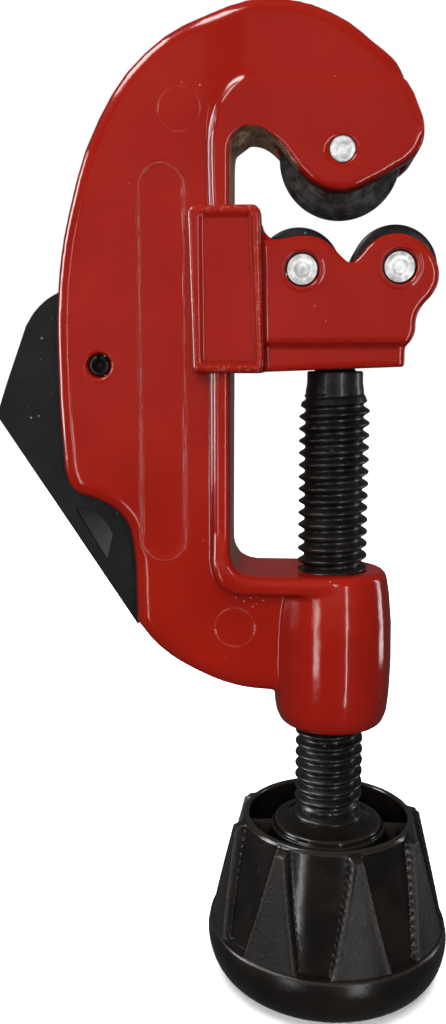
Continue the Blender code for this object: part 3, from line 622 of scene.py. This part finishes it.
def blackened(name, dark, light, gloss, grain_mm, relief=0.006, oil=0.3, ground=False):
    """Black oxide from dark to light. With ground, faces sunk below the front are rubbed grey."""
    paint = Paint(name, "black_oxide_steel")
    cloud = paint.noise(5.0, 3.0)
    grain = paint.noise(grain_mm, 3.0, 0.6)
    # Painted glints: pale spots in the colour stand in for the oil film's highlights.
    glint = paint.cells(1.9).rise(0.13, 0.06) * paint.noise(3.0, 0.0).rise(0.5, 0.6)
    waves = paint.noise(grain_mm * 6, 1.0)
    paint.relief(grain * relief * 2 + waves * relief * 3 + glint * 0.03)
    tone = paint.blend((cloud * 0.5 + grain * 0.5).rise(0.35, 0.68), dark, light)
    if ground:
        tone = paint.blend(paint.attribute("ground") * (0.6 + grain * 0.4), tone, RUBBED_GREY)
    return paint.finish(
        Base_Color=paint.blend(glint * 0.6, tone, GLINT),
        Metallic=0.55,
        Roughness=gloss + grain * 0.16 + cloud * 0.08,
        Coat_Weight=oil,
        Coat_Roughness=0.2,
    )


thread_paint = blackened(
    "oiled black thread", (0.006, 0.0056, 0.0052), (0.026, 0.0235, 0.021), gloss=0.27, grain_mm=0.5
)
roller_paint = blackened(
    "blackened rollers", (0.008, 0.0075, 0.0075), (0.032, 0.030, 0.028), gloss=0.3, grain_mm=0.5
)
print("two black steels made:", thread_paint.material.name, "and", roller_paint.material.name)

# %% [markdown]
# ## The feed screw
#
# A thread is a grid whose radius depends on how far a point is along the pitch once the
# climb of one pitch per turn is taken off. The last turns fade into the plain neck, as a
# rolling die leaves them, and the bottom one into the collar that bears on the knob.

# %% Thread and neck
CREST, ROOT, PITCH = 5.92, 4.78, 2.0
CREST_AT = 1.9
COLLAR, NECK, TIP, CORE = 5.15, 4.55, 3.2, 4.75
THREAD_FROM, THREAD_TO, SCREW_STEPS = 28.9, 100.7, 96
screw_low, screw_high = measure("feed_screw")
neck_top = slide_low[2] + 0.35
print("turns of thread:", round((THREAD_TO - THREAD_FROM) / PITCH))


def thread_radius(angle, height):
    """Radius of the thread at an angle and a height.

    With p the share of the pitch past the crest, d = |2p - 1| runs from 1 on the crest to 0
    in the root. The flank is a straight V, rounded on the crest and flat in the root.
    """
    share = ((height - CREST_AT) / PITCH - angle / (2 * np.pi)) % 1.0
    flank = np.abs(2 * share - 1)
    vee = np.clip((flank - 0.16) / 0.74, 0, 1)
    vee = vee**1.15 * (1 - 0.12 * vee**8)
    return ROOT + (CREST - ROOT) * vee


def screw_points():
    """The whole screw: a turned foot, the thread between two fades, and the turned neck."""
    foot = [(TIP, screw_low[2] + 8), (5.0, 22.6), (5.0, 27.2)]
    foot += [(6.0, 27.2), (6.0, 28.3), (COLLAR, 28.7)]
    top = [(CORE, 101.2), (NECK, 102.4), (NECK, neck_top), (TIP, neck_top), (TIP, screw_high[2])]
    foot, top = soften(foot, 0.3), soften(top, 0.4)
    height = np.arange(THREAD_FROM, THREAD_TO, 0.1)
    angle = np.linspace(0, 2 * np.pi, SCREW_STEPS, endpoint=False)
    fade_in = np.clip((height - 29.3) / 1.6, 0, 1)[:, None]
    fade_out = np.clip((100.6 - height) / 3.2, 0, 1)[:, None]
    limit = ROOT + (CREST - ROOT) * fade_out**0.7
    plain = COLLAR + (ROOT - COLLAR) * fade_in
    thread = np.minimum(thread_radius(angle[None, :], height[:, None]), limit)
    thread = plain + (thread - plain) * fade_in
    foot_radius, top_radius = (np.repeat(part[:, :1], SCREW_STEPS, 1) for part in (foot, top))
    pole = np.zeros((1, SCREW_STEPS))
    radius = np.vstack([pole, foot_radius, thread, top_radius, pole])
    level = np.concatenate([foot[:1, 1], foot[:, 1], height, top[:, 1], screw_high[2:]])
    level = np.broadcast_to(level[:, None], radius.shape)
    return np.stack([radius * np.cos(angle), radius * np.sin(angle), level], axis=-1)


add_piece("threaded_rod", screw_points(), "screw", thread_paint, ["feed_screw"], 50)

# %% [markdown]
# ## The knob
#
# Seen from above the knob is a cup: a hub round the screw, a thin outer wall, and four webs
# between them. Outside, eight flutes are scooped out for the fingers, wide at the top and
# narrow at the foot, and the eight lands between them widen downwards and are grained.
# The whole skin is one profile, walked from the bore over the top and down to the base,
# and only a few of its rows depend on the angle.

# %% Knob sizes
LANDS, FIRST_LAND = 8, np.radians(284.7)
LEDGE_Z, RIM_Z, HUB_Z = 9.0, 27.95, 27.0
BORE_Z, WELL_Z, WEB_Z = 21.0, 14.5, 25.9
BASE_RADIUS, BELLY_RADIUS, BELLY_Z = 16.3, 20.95, 7.0
KNOB_STEPS = 464
knob_angle = np.linspace(0, 2 * np.pi, KNOB_STEPS, endpoint=False)
print("eight lands, one every", 360 // LANDS, "degrees")


def land_share(angle, height):
    """1 on a land and 0 in a flute, with a soft shoulder 0.5 mm wide.

    A land's half width is a straight line in height, from 14.6 degrees at the ledge to 3.4
    degrees at the rim, and the angle to the nearest land's middle is compared with it.
    """
    spacing = 2 * np.pi / LANDS
    off = np.abs((angle - FIRST_LAND + spacing / 2) % spacing - spacing / 2)
    half = np.radians(14.6 + (3.4 - 14.6) * (height - LEDGE_Z) / (27.2 - LEDGE_Z))
    reach = (half - off) * 18.0
    return smooth_step(reach, -0.35, 0.2), reach


def outer_wall(height):
    """Radius of the outer wall at each height and angle.

    The flute's cone runs from 19.2 at the ledge to 14.9 at the rim, and the land's from 20.15
    to 16.45. A low bead stands on each side of a land.
    """
    t = ((height - LEDGE_Z) / (27.4 - LEDGE_Z))[:, None]
    flute = 19.2 + (14.9 - 19.2) * t
    land = 20.15 + (16.45 - 20.15) * t
    share, reach = land_share(knob_angle[None, :], height[:, None])
    top = smooth_step(height, 27.5, 26.6)[:, None]
    bead = np.exp(-(((reach - 0.35) / 0.3) ** 2)) * 0.16
    return flute + (land - flute) * share * top + bead * share * top


# %% Knob skin
def web_top(radius):
    """Height of the well's floor or of a web, at each radius and angle.

    |sin 2a| r / 2 is about a point's distance from the nearest of the four webs' middles.
    """
    off = np.abs(np.sin(2 * knob_angle))[None, :] * radius[:, None] / 2
    return WELL_Z + (WEB_Z - WELL_Z) * smooth_step(off, 0.95, 0.6)


def rows_of(values):
    """One row of the grid for each value, which is the same at every angle."""
    return np.repeat(np.asarray(values)[:, None], KNOB_STEPS, 1)


def all_round(radius, height):
    """The rows of a plainly turned part of the skin."""
    return rows_of(radius), rows_of(height)


def knob_points():
    """The skin from the bore over the rim to the base, part after part."""
    hub = [(5.4, BORE_Z), (5.4, HUB_Z + 0.8), (6.2, HUB_Z + 0.75), (7.6, HUB_Z)]
    hub += [(9.2, HUB_Z - 0.15), (9.45, HUB_Z - 0.9), (9.9, HUB_Z - 1.0), (9.9, WELL_Z)]
    well_r = np.linspace(9.95, 14.6, 26)
    inner_r = np.linspace(14.6, 13.7, 30)
    inner_z = np.maximum(np.linspace(14.6, RIM_Z - 0.35, 30)[:, None], web_top(inner_r))
    rim = soften([(13.7, RIM_Z - 0.35), (13.85, RIM_Z), (14.5, RIM_Z), (14.85, 27.5)], 0.25)
    outer_z = np.concatenate([np.linspace(27.45, 25.6, 14), np.linspace(25.4, 9.3, 60)])
    bend = np.radians(np.linspace(0, 90, 22))
    belly_r = BASE_RADIUS + (BELLY_RADIUS - BASE_RADIUS) * np.cos(bend)
    belly_z = BELLY_Z * (1 - np.sin(bend))
    belly_top = (belly_r[0], belly_z[0])
    ledge = soften([(20.0, LEDGE_Z + 0.15), (20.6, LEDGE_Z - 0.1), belly_top], 0.3)
    base = soften([(BASE_RADIUS, 0.0), (12.5, 0.0), (12.5, 2.4), (0.0, 2.4)], 0.15)
    parts = [
        all_round([0.0], [BORE_Z]),
        all_round(*soften(hub, 0.35).T),
        (rows_of(well_r), web_top(well_r)),
        (rows_of(inner_r), inner_z),
        all_round(*rim.T),
        (outer_wall(outer_z), rows_of(outer_z)),
        all_round(*ledge[:-1].T),
        all_round(belly_r, belly_z),
        all_round(*base[1:].T),
    ]
    radius, level = (np.vstack(rows) for rows in zip(*parts))
    return np.stack([radius * np.cos(knob_angle), radius * np.sin(knob_angle), level], axis=-1)


# %% [markdown]
# The plastic is black with a brown cast. The mould was polished in the flutes and eroded
# on the lands, so the lands scatter light from a fine grain while the flutes stay wet-looking.
# The grain's mask comes from the same formula as the shape.


# %% Moulded plastic
def moulded(name, grain=None):
    """Black plastic as grainy as grain says, or as the piece's own "grain" attribute does."""
    paint = Paint(name, "black_plastic")
    grain = paint.attribute("grain") if grain is None else grain
    fine = paint.noise(0.32, 2.0, 0.7)
    cloud = paint.noise(7.0, 3.0)
    rubbed = paint.noise(2.5, 3.0, 0.6).rise(0.55, 0.75)
    edge = paint.attribute("edge").rise(0.15, 0.8)
    paint.relief(fine * (0.004 + grain * 0.085) + cloud * 0.03 + paint.noise(1.6, 2.0) * 0.03)
    tone = paint.blend(cloud.rise(0.3, 0.7), (0.0050, 0.0040, 0.0034), (0.0110, 0.0086, 0.0070))
    # Convex edges are lightened as a painted highlight, and the lands' grain gets pale flecks.
    tone = paint.blend(edge * 0.3 + grain * fine.rise(0.5, 0.8) * 0.2, tone, (0.055, 0.048, 0.043))
    return paint.finish(
        Base_Color=tone,
        Roughness=0.17 + grain * 0.2 + rubbed * 0.12,
        Specular_IOR_Level=0.35,
    )


# %% The knob and its cap
def grain_of(place):
    """1 on the lands, 0.3 on the belly and 0 elsewhere, at places in millimetres."""
    x, y, level = place.T
    radius = np.hypot(x, y)
    share, _ = land_share(np.arctan2(y, x), level)
    on_wall = (radius > 14.7) & (level > LEDGE_Z) & (level < 27.3)
    below = (level <= LEDGE_Z) & (radius > BASE_RADIUS)
    return np.where(on_wall, share, np.where(below, 0.3, 0.0))


knob_paint = moulded("moulded knob plastic")
knob = add_piece("knob_skin", knob_points(), "screw", knob_paint, ["knob"], 40)
store(knob.data, "grain", grain_of(measure_edges(knob)[0]))
cap_paint = moulded("moulded cap plastic", 0.4)
cap = soften([(0.0, 1.8), (12.0, 1.8), (12.2, 0.0), (9.6, 0.0), (9.4, 0.35), (0.0, 0.35)], 0.25)
measure_edges(add_piece("end_cap", carried_round(cap), "screw", cap_paint, ["knob_end_cap"]))

# %% [markdown]
# ## Wheels, rollers and pins
#
# These are turned on a lathe, so each is a profile with broken corners carried round its
# axle. The tool leaves rings: the steel's grain is noise stretched along the circle, which
# here is a noise of the distance from the axle.


# %% Turned steel with rings
def turned_steel(name, slot, centre, colours, metallic, rough, ring_relief=0.004, mottle=0.0):
    """Steel with lathe rings round an axle along Y: a noise whose place is (radius, y, 0).

    colours are its darkest and lightest, and mottle deepens its blotches.
    """
    paint = Paint(name, slot)
    across, up = paint.x - centre[0] * MM, paint.z - centre[2] * MM
    radius = (across * across + up * up).root()
    place = paint.node("ShaderNodeCombineXYZ", {}, {0: radius, 1: paint.y, 2: 0.0}).outputs[0]
    rings = paint.noise_at(place, 0.22, 3.0)
    blotch = paint.noise(1.5, 3.0, 0.65)
    paint.relief(rings * ring_relief * 2 + blotch * 0.02 * (1 + mottle))
    shade = (rings * 0.4 + blotch * 0.6).rise(0.35, 0.65)
    return paint.finish(
        Base_Color=paint.blend(shade, *colours),
        Metallic=metallic,
        Roughness=rough + blotch * 0.15 + rings * 0.08,
    )


# %% Cutter wheel
wheel_greys = (0.035, 0.034, 0.033), (0.13, 0.128, 0.125)
wheel_paint = turned_steel(
    "hardened wheel steel", "hard_steel", wheel_at, wheel_greys, metallic=0.85, rough=0.3
)
WHEEL_HALF, WHEEL_BORE, WHEEL_HUB = -wheel_low[1], 2.5, 5.6
WHEEL_RADIUS = wheel_at[2] - wheel_low[2]
one_side = [
    (WHEEL_BORE, WHEEL_HALF),
    (WHEEL_HUB, WHEEL_HALF),
    (WHEEL_RADIUS - 0.9, 0.62),
    (WHEEL_RADIUS - 0.05, 0.04),
]
wheel_profile = [*one_side, *((r, -h) for r, h in one_side[::-1]), one_side[0]]
wheel = carried_round(soften(wheel_profile, 0.22), wheel_at, "Y", 128)
measure_edges(add_piece("cutting_disc", wheel, "cutter_wheel", wheel_paint, ["cutter_wheel"]))


# %% Pins
PIN_GREYS = (0.36, 0.36, 0.37), (0.95, 0.95, 0.94)


def add_pin(name, node, body, radius):
    """A bright pin along Y whose front end is slightly domed."""
    low, high = measure(node)
    centre = middle_of(node) * (1, 0, 1)
    front, back = -low[1], -high[1]
    dome = [(0, front - 0.12), (radius * 0.55, front - 0.05), (radius, front - 0.1)]
    profile = [*dome, (radius, front - 0.7), (radius, back), (0, back)]
    points = carried_round(soften(profile, 0.25), centre, "Y", 64)
    paint = turned_steel(
        f"bright steel of {name}", "bright_steel", centre, PIN_GREYS, 0.35, 0.25, 0.002, mottle=4.0
    )
    return add_piece(name, points, body, paint, [node])


add_pin("wheel_axle", "wheel_pin", "frame", 1.95)
for side in SIDES:
    add_pin(f"{side}_axle", f"roller_pin_{side}", "slide", 2.35)


# %% Rollers
ROLLER_BORE, GROOVE_DEPTH = 3.0, 0.7


def add_roller(side):
    """A roller on an axle along Y, with a shallow groove round its middle."""
    node = f"roller_{side}"
    low, high = measure(node)
    centre = middle_of(node) * (1, 0, 1)
    radius, half = (high[2] - low[2]) / 2, high[1]
    upper = [(ROLLER_BORE, half), (radius, half), (radius, 0.9), (radius - GROOVE_DEPTH, 0.35)]
    profile = [*upper, *((r, -h) for r, h in upper[::-1]), upper[0]]
    corners = [0.0, 0.8, 0.2, 0.2, 0.2, 0.2, 0.8, 0.2, 0.0]
    points = carried_round(soften(profile, corners), centre, "Y", 112)
    return add_piece(f"{side}_roller", points, node, roller_paint, [node])


for side in SIDES:
    add_roller(side)

# %% [markdown]
# ## The reamer
#
# The blade is stamped flat, blackened, and ground on one side of its point. The grinding
# leaves a shallow facet that catches the light. The blade is the CAD plate itself with its
# edges broken by a bevel. It swings on a rolled spring pin, a tube with a slit.

# %% The blade
blade_paint = blackened(
    "blackened blade", (0.0045, 0.0050, 0.0055), (0.012, 0.013, 0.0145),
    gloss=0.5, grain_mm=0.35, relief=0.003, oil=0.0, ground=True,
)
blade = merged_copy("reamer_blade", "reamer_plate")
bevel = blade.modifiers.new("broken edges", "BEVEL")
bevel.width = 0.18 * MM
bevel.segments = 1
bevel.angle_limit = np.radians(40)
settle(blade)
where, facing = measure_edges(blade)
below_face = where[:, 1] - where[:, 1].min()
sunk = (below_face > 0.15) & (below_face < 0.7) & (facing[:, 1] < -0.3)
store(blade.data, "ground", sunk * smooth_step(where[:, 2], 82.5, 75.0))
dress(blade, "reamer", blade_paint, ["reamer_blade"], 20)

# %% [markdown]
# The spring pin is the CAD tube with its slit. A short black plug goes inside, so that the
# hole looks black and not open.

# %% The spring pin
PLUG_RADIUS, PLUG_LENGTH = 1.17, 2
spring_pin = merged_copy("reamer_spring_pin", "rolled_pin")
bm = bmesh.new()
bm.from_mesh(spring_pin.data)
ends = {"radius1": PLUG_RADIUS * MM, "radius2": PLUG_RADIUS * MM, "depth": PLUG_LENGTH * MM}
plug = bmesh.ops.create_cone(bm, cap_ends=True, segments=24, **ends)
turn = Matrix.Translation(Vector(reamer_pin_at * MM)) @ Matrix.Rotation(np.pi / 2, 4, "X")
bmesh.ops.transform(bm, matrix=turn, verts=plug["verts"])
bm.to_mesh(spring_pin.data)
bm.free()
measure_edges(spring_pin)
dress(spring_pin, "frame", thread_paint, ["reamer_spring_pin"], 40)

# %% [markdown]
# ## Small fittings
#
# Clips, washers, the fixing screw and the spare wheel hide in the mechanism, and some show
# from other sides. Each copies its CAD shape's size and gets steel like its neighbours.


# %% Rings and washers
def add_ring(name, node, body, axis, paint, hole):
    """A flat ring as wide as its CAD node, with broken corners."""
    low, high = measure(node)
    centre = middle_of(node)
    radius = (high[0] - low[0]) / 2
    half = (high[1] - low[1]) / 2 if axis == "Y" else (high[2] - low[2]) / 2
    profile = [(hole, half), (radius, half), (radius, -half), (hole, -half), (hole, half)]
    points = carried_round(soften(profile, 0.12), centre, axis, 64)
    return add_piece(name, points, body, paint, [node])


clip_greys = (0.04, 0.04, 0.04), (0.12, 0.12, 0.12)
clip_paint = turned_steel("spring clip steel", "hard_steel", wheel_at, clip_greys, 0.9, 0.3)
plain_greys = (0.35, 0.35, 0.35), (0.75, 0.75, 0.74)
plain_paint = turned_steel("zinc-bright washers", "bright_steel", (0, 0, 0), plain_greys, 1.0, 0.28)
add_ring("axle_clip", "wheel_pin_clip", "frame", "Y", clip_paint, hole=1.9)
add_ring("screw_clip", "retaining_clip", "screw", "Z", plain_paint, hole=2.6)
add_ring("bearing_washer", "thrust_washer", "screw", "Z", plain_paint, hole=3.5)
add_ring("knob_washer", "knob_fixing_washer", "screw", "Z", plain_paint, hole=2.2)
add_ring("blade_washer", "reamer_spring_washer", "frame", "Y", plain_paint, hole=1.9)

# %% Fixing screw and spare wheel
low, high = measure("knob_fixing_screw")
SHANK, HEAD, HEAD_Z = 1.9, 3.5, 9.6
shank = [(0, high[2]), (1.7, high[2]), (SHANK, high[2] - 0.3), (SHANK, HEAD_Z)]
head = [(HEAD, HEAD_Z), (HEAD, low[2] + 0.3), (3.1, low[2]), (0, low[2])]
fixing = carried_round(soften([*shank, *head], 0.2), steps=48)
add_piece("fixing_screw", fixing, "screw", plain_paint, ["knob_fixing_screw"])
spare_at = middle_of("spare_cutter_wheel")
spare = carried_round(soften(wheel_profile, 0.22), spare_at, "Z", 96)
spare_greys = (0.05, 0.05, 0.05), (0.2, 0.2, 0.2)
spare_paint = turned_steel("spare wheel steel", "hard_steel", spare_at, spare_greys, 0.9, 0.3)
add_piece("spare_disc", spare, "screw", spare_paint, ["spare_cutter_wheel"])

# %% [markdown]
# ## Studio
#
# A broad pale floor and an even white room, with a few long soft lights. The curved enamel
# mirrors them as streaks, which is what makes the paint read as gloss.


# %% The floor
def add_floor():
    """A white sheet under the knob, which shows to the camera but isn't mirrored in the tool."""
    bpy.ops.mesh.primitive_plane_add(size=6.0, location=(0, 0, cad_low[2] - 0.0002))
    floor = bpy.context.object
    floor.name = "pale_floor"
    paper = bpy.data.materials.new("pale paper")
    paper.use_nodes = True
    shader = paper.node_tree.nodes["Principled BSDF"]
    shader.inputs["Base Color"].default_value = (0.93, 0.93, 0.93, 1)
    shader.inputs["Roughness"].default_value = 0.9
    floor.data.materials.append(paper)
    floor.visible_glossy = floor.visible_diffuse = floor.visible_shadow = False
    # The knob stands on the floor and moves with the slide, so the floor goes with it too.
    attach(floor, "slide")
    floor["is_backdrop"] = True
    return floor


floor = add_floor()

# %% [markdown]
# The room is white to the eye but gives the tool little light, because an evenly bright room
# would lay a pale haze over the gloss. Light Path tells a camera ray from the others.

# %% The room
ROOM_LIGHT, ROOM_SEEN = 0.08, 1.0
world = bpy.data.worlds.new("white room")
bpy.context.scene.world = world
world.use_nodes = True
room = world.node_tree.nodes["Background"]
room.inputs["Color"].default_value = (1, 1, 1, 1)
rays = world.node_tree.nodes.new("ShaderNodeLightPath")
seen = world.node_tree.nodes.new("ShaderNodeMapRange")
seen.inputs["To Min"].default_value = ROOM_LIGHT
seen.inputs["To Max"].default_value = ROOM_SEEN
world.node_tree.links.new(rays.outputs["Is Camera Ray"], seen.inputs["Value"])
world.node_tree.links.new(seen.outputs["Result"], room.inputs["Strength"])
print("the room lights with", ROOM_LIGHT, "and shows as", ROOM_SEEN)

# %% [markdown]
# Fills light the colours, and strips and windows are only mirrored. Keeping the two apart
# means that each streak in the gloss can be placed without changing how bright the red is.


# %% The lights
def add_light(name, place, target, width, height, power, mirrored=True):
    """A soft rectangular light at a place, in millimetres, turned to a target.

    A mirrored light only makes a streak in the gloss, and any other only lights the colours.
    """
    data = bpy.data.lights.new(name, "AREA")
    data.shape = "RECTANGLE"
    data.size, data.size_y = width * MM, height * MM
    data.energy = power
    light = bpy.data.objects.new(name, data)
    light.location = Vector(place) * MM
    aim = Vector(target) * MM - light.location
    light.rotation_mode = "QUATERNION"
    light.rotation_quaternion = aim.to_track_quat("-Z", "Y")
    light.visible_glossy = mirrored
    light.visible_diffuse = not mirrored
    bpy.context.scene.collection.objects.link(light)
    return light


middle = (-20, 0, 80)
add_light("front_fill", (-80, -620, 260), middle, 500, 500, 4.3, mirrored=False)
add_light("top_fill", (-40, -60, 760), middle, 700, 700, 3.6, mirrored=False)
add_light("back_fill", (0, 600, 300), middle, 500, 500, 3.0, mirrored=False)
add_light("boss_strip", (182, -390, 40), (0, 0, 60), 24, 400, 0.6)
add_light("left_window", (-430, -40, 180), (-30, 0, 110), 150, 290, 2.2)
add_light("high_left", (-290, -110, 480), (-10, 0, 140), 190, 150, 1.5)
add_light("knob_strip", (-228, -365, -20), (0, 0, 20), 26, 170, 0.2)
add_light("left_strip", (-300, -360, 130), (0, 0, 80), 14, 200, 0.12)
add_light("right_strip", (385, 110, 90), (0, 0, 70), 40, 300, 0.35)

# %% [markdown]
# The floor has a soft sun of its own, so that it stays white up to the knob's faint shadow
# while the tool keeps its contrast. Light linking hides the sun from everything else.

# %% A sun for the floor alone
sun_data = bpy.data.lights.new("floor_sun", "SUN")
sun_data.energy = 4.2
sun_data.angle = np.radians(70)
sun = bpy.data.objects.new("floor_sun", sun_data)
bpy.context.scene.collection.objects.link(sun)
lit = bpy.data.collections.new("lit by the sun")
lit.objects.link(floor)
sun.light_linking.receiver_collection = lit

# %% [markdown]
# ## Camera
#
# The tool is seen from close by, a little from its left and slightly from above, with a
# wide lens, so the knob spreads towards the viewer.

# %% Camera
EYE = (-8.15, -159.74, 104.81)
TURN, DIP = np.radians(-3.67), np.radians(8.52)
LENS, SENSOR = 33.77, 36.0
camera_data = bpy.data.cameras.new("camera")
camera_data.lens = LENS
camera_data.sensor_width = SENSOR
camera_data.clip_start = 0.005
camera = bpy.data.objects.new("camera", camera_data)
camera.location = Vector(EYE) * MM
aim = Vector((np.sin(TURN) * np.cos(DIP), np.cos(TURN) * np.cos(DIP), -np.sin(DIP)))
camera.rotation_mode = "QUATERNION"
camera.rotation_quaternion = aim.to_track_quat("-Z", "Y")
bpy.context.scene.collection.objects.link(camera)
bpy.context.scene.camera = camera
bpy.context.scene.view_settings.view_transform = "Standard"

# %% [markdown]
# ## Sizes
#
# The dressed tool's box is printed, as the skeleton's was at the start. The dressed
# tool has to be as large as its skeleton.

# %% Sizes
low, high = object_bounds()
print("visual box in mm:", [round((b - a) / MM, 1) for a, b in zip(low, high)])
